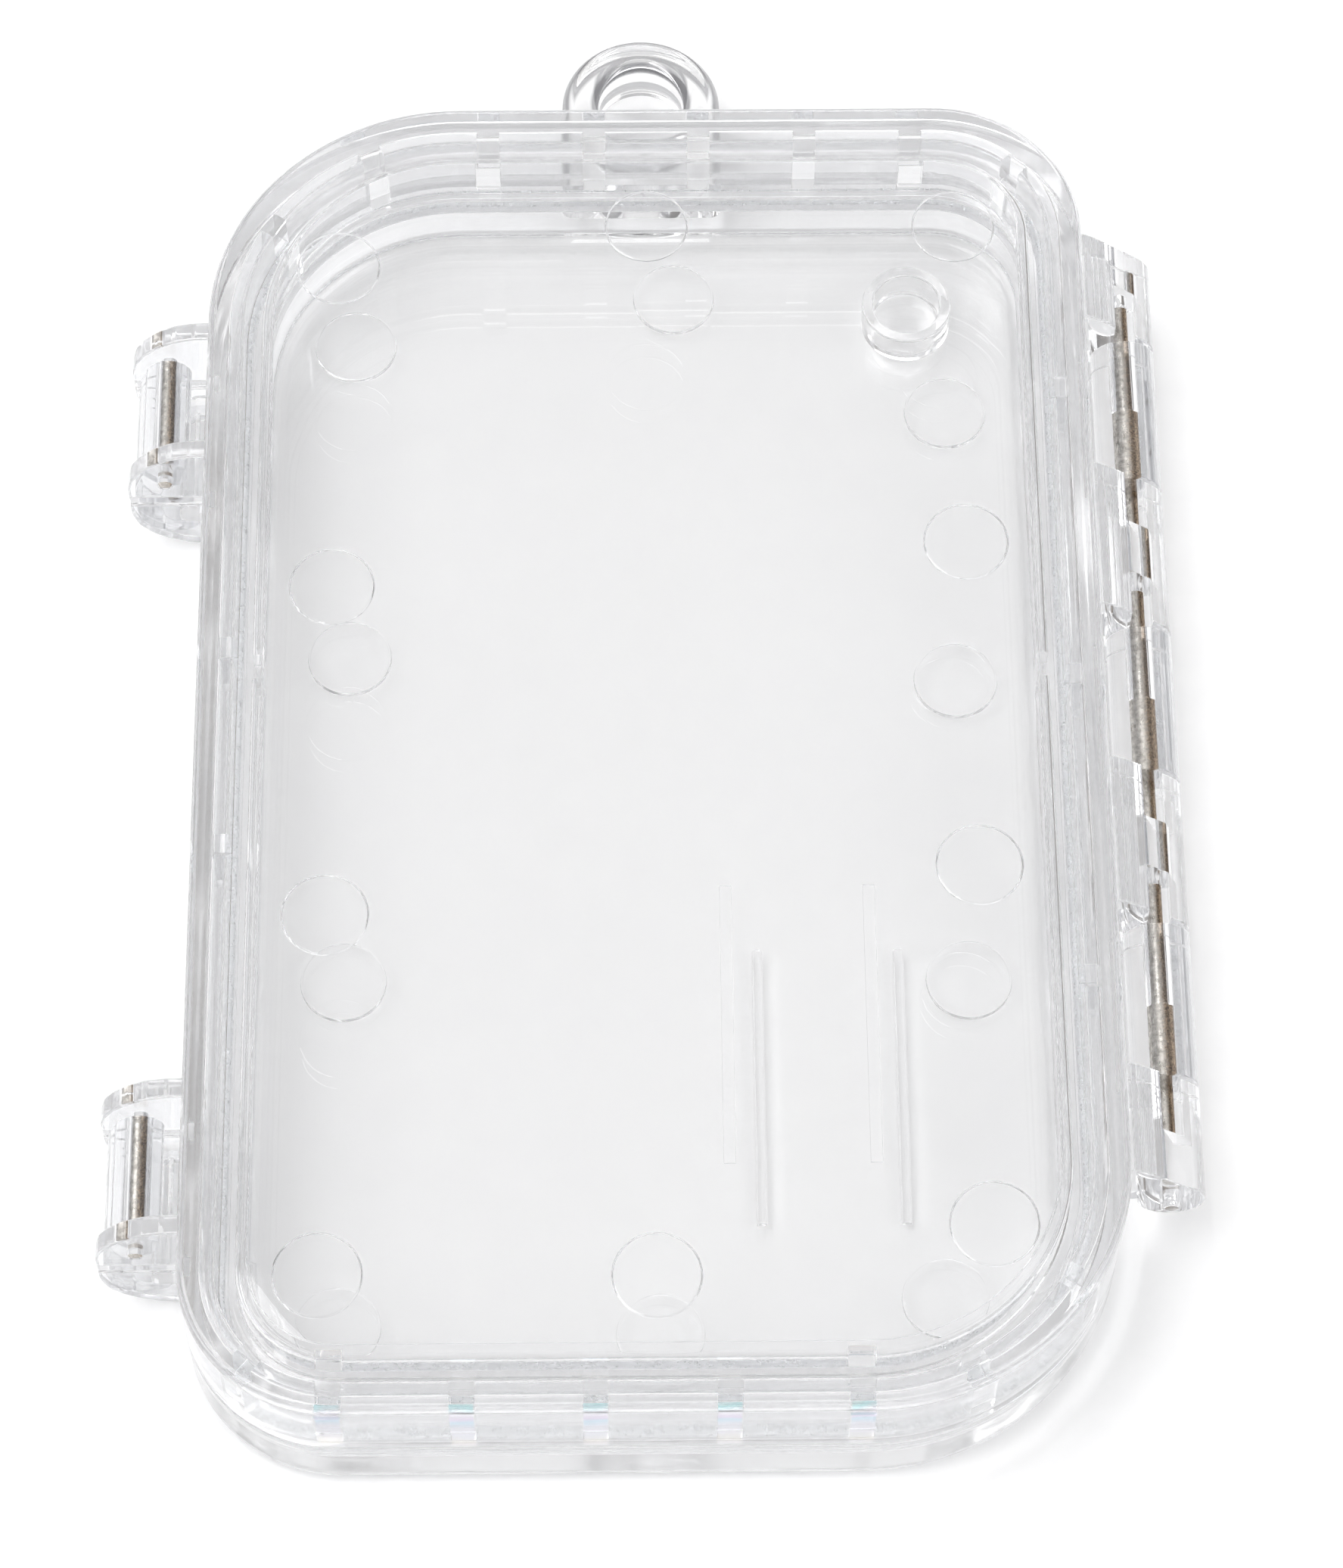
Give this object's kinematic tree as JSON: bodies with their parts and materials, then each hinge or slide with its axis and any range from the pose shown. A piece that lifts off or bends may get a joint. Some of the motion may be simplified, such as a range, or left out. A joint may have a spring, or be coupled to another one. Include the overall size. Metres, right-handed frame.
{
  "type": "pick holder",
  "caption": "Clear hinged pocket case for guitar picks with a sealed lid, side hinge on a steel pin, swinging latches and a hanging loop.",
  "frame": {"origin": "centre of the flat back face of the rear shell, on which the case lies", "axes": "+Z out of the front window, +Y along the long side towards the hanging loop, +X towards the hinge; the latches are on -X"},
  "size_m": [0.0804, 0.1215, 0.015],
  "materials": {
    "clear_shell": "water-clear moulded plastic, polished",
    "clear_latch": "water-clear moulded plastic, polished",
    "seal": "frosted translucent silicone",
    "pin_steel": "drawn steel wire, slightly dull"
  },
  "bodies": {
    "rear": {"rear_shell": "clear_shell", "gasket": "seal", "hinge_pin": "pin_steel"},
    "cover": {"front_cover": "clear_shell", "upper_latch_pin": "pin_steel", "lower_latch_pin": "pin_steel"},
    "latch_upper": {"upper_latch": "clear_latch"},
    "latch_lower": {"lower_latch": "clear_latch"}
  },
  "joints": [
    {"name": "lid_hinge", "type": "hinge", "parent": "rear", "child": "cover", "pos_m": [0.0375, 0, 0.0075], "axis": [0, 1, 0], "range_deg": [0, 180]},
    {"name": "upper_latch_pivot", "type": "hinge", "parent": "cover", "child": "latch_upper", "pos_m": [-0.0374, 0.0289, 0.0102], "axis": [0, 1, 0], "range_deg": [0, 110]},
    {"name": "lower_latch_pivot", "type": "hinge", "parent": "cover", "child": "latch_lower", "pos_m": [-0.0374, -0.03485, 0.0102], "axis": [0, 1, 0], "range_deg": [0, 110]}
  ]
}
